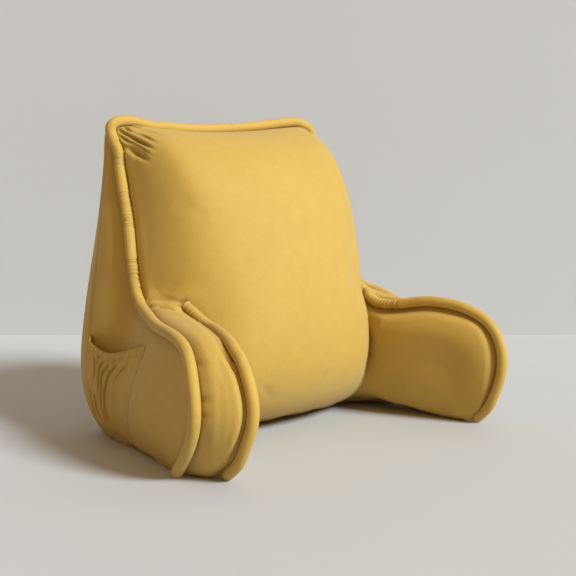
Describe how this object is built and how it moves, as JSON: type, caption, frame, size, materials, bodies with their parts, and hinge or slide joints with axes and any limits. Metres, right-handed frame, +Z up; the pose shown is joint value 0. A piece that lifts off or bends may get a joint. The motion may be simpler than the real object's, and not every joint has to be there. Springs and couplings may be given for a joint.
{
  "type": "reading pillow with arms",
  "caption": "Stuffed reading pillow with a tall back, splayed arms, fat piping along its seams and a gathered pocket on its left side, in mustard velour.",
  "frame": {"origin": "bottom centre of the whole pillow, on the surface it stands on", "axes": "+X towards the arm on the viewer's right, +Y towards the rear, so the arms reach towards -Y, +Z up"},
  "size_m": [0.6115, 0.4553, 0.4743],
  "materials": {
    "velour": "short-pile velour, matt with a soft sheen",
    "piping": "short-pile velour over cord, matt with a soft sheen"
  },
  "bodies": {
    "root": {"body": "velour", "piping_outer": "piping", "piping_inner_left": "piping", "piping_inner_right": "piping", "pocket_left": "velour"}
  },
  "joints": []
}
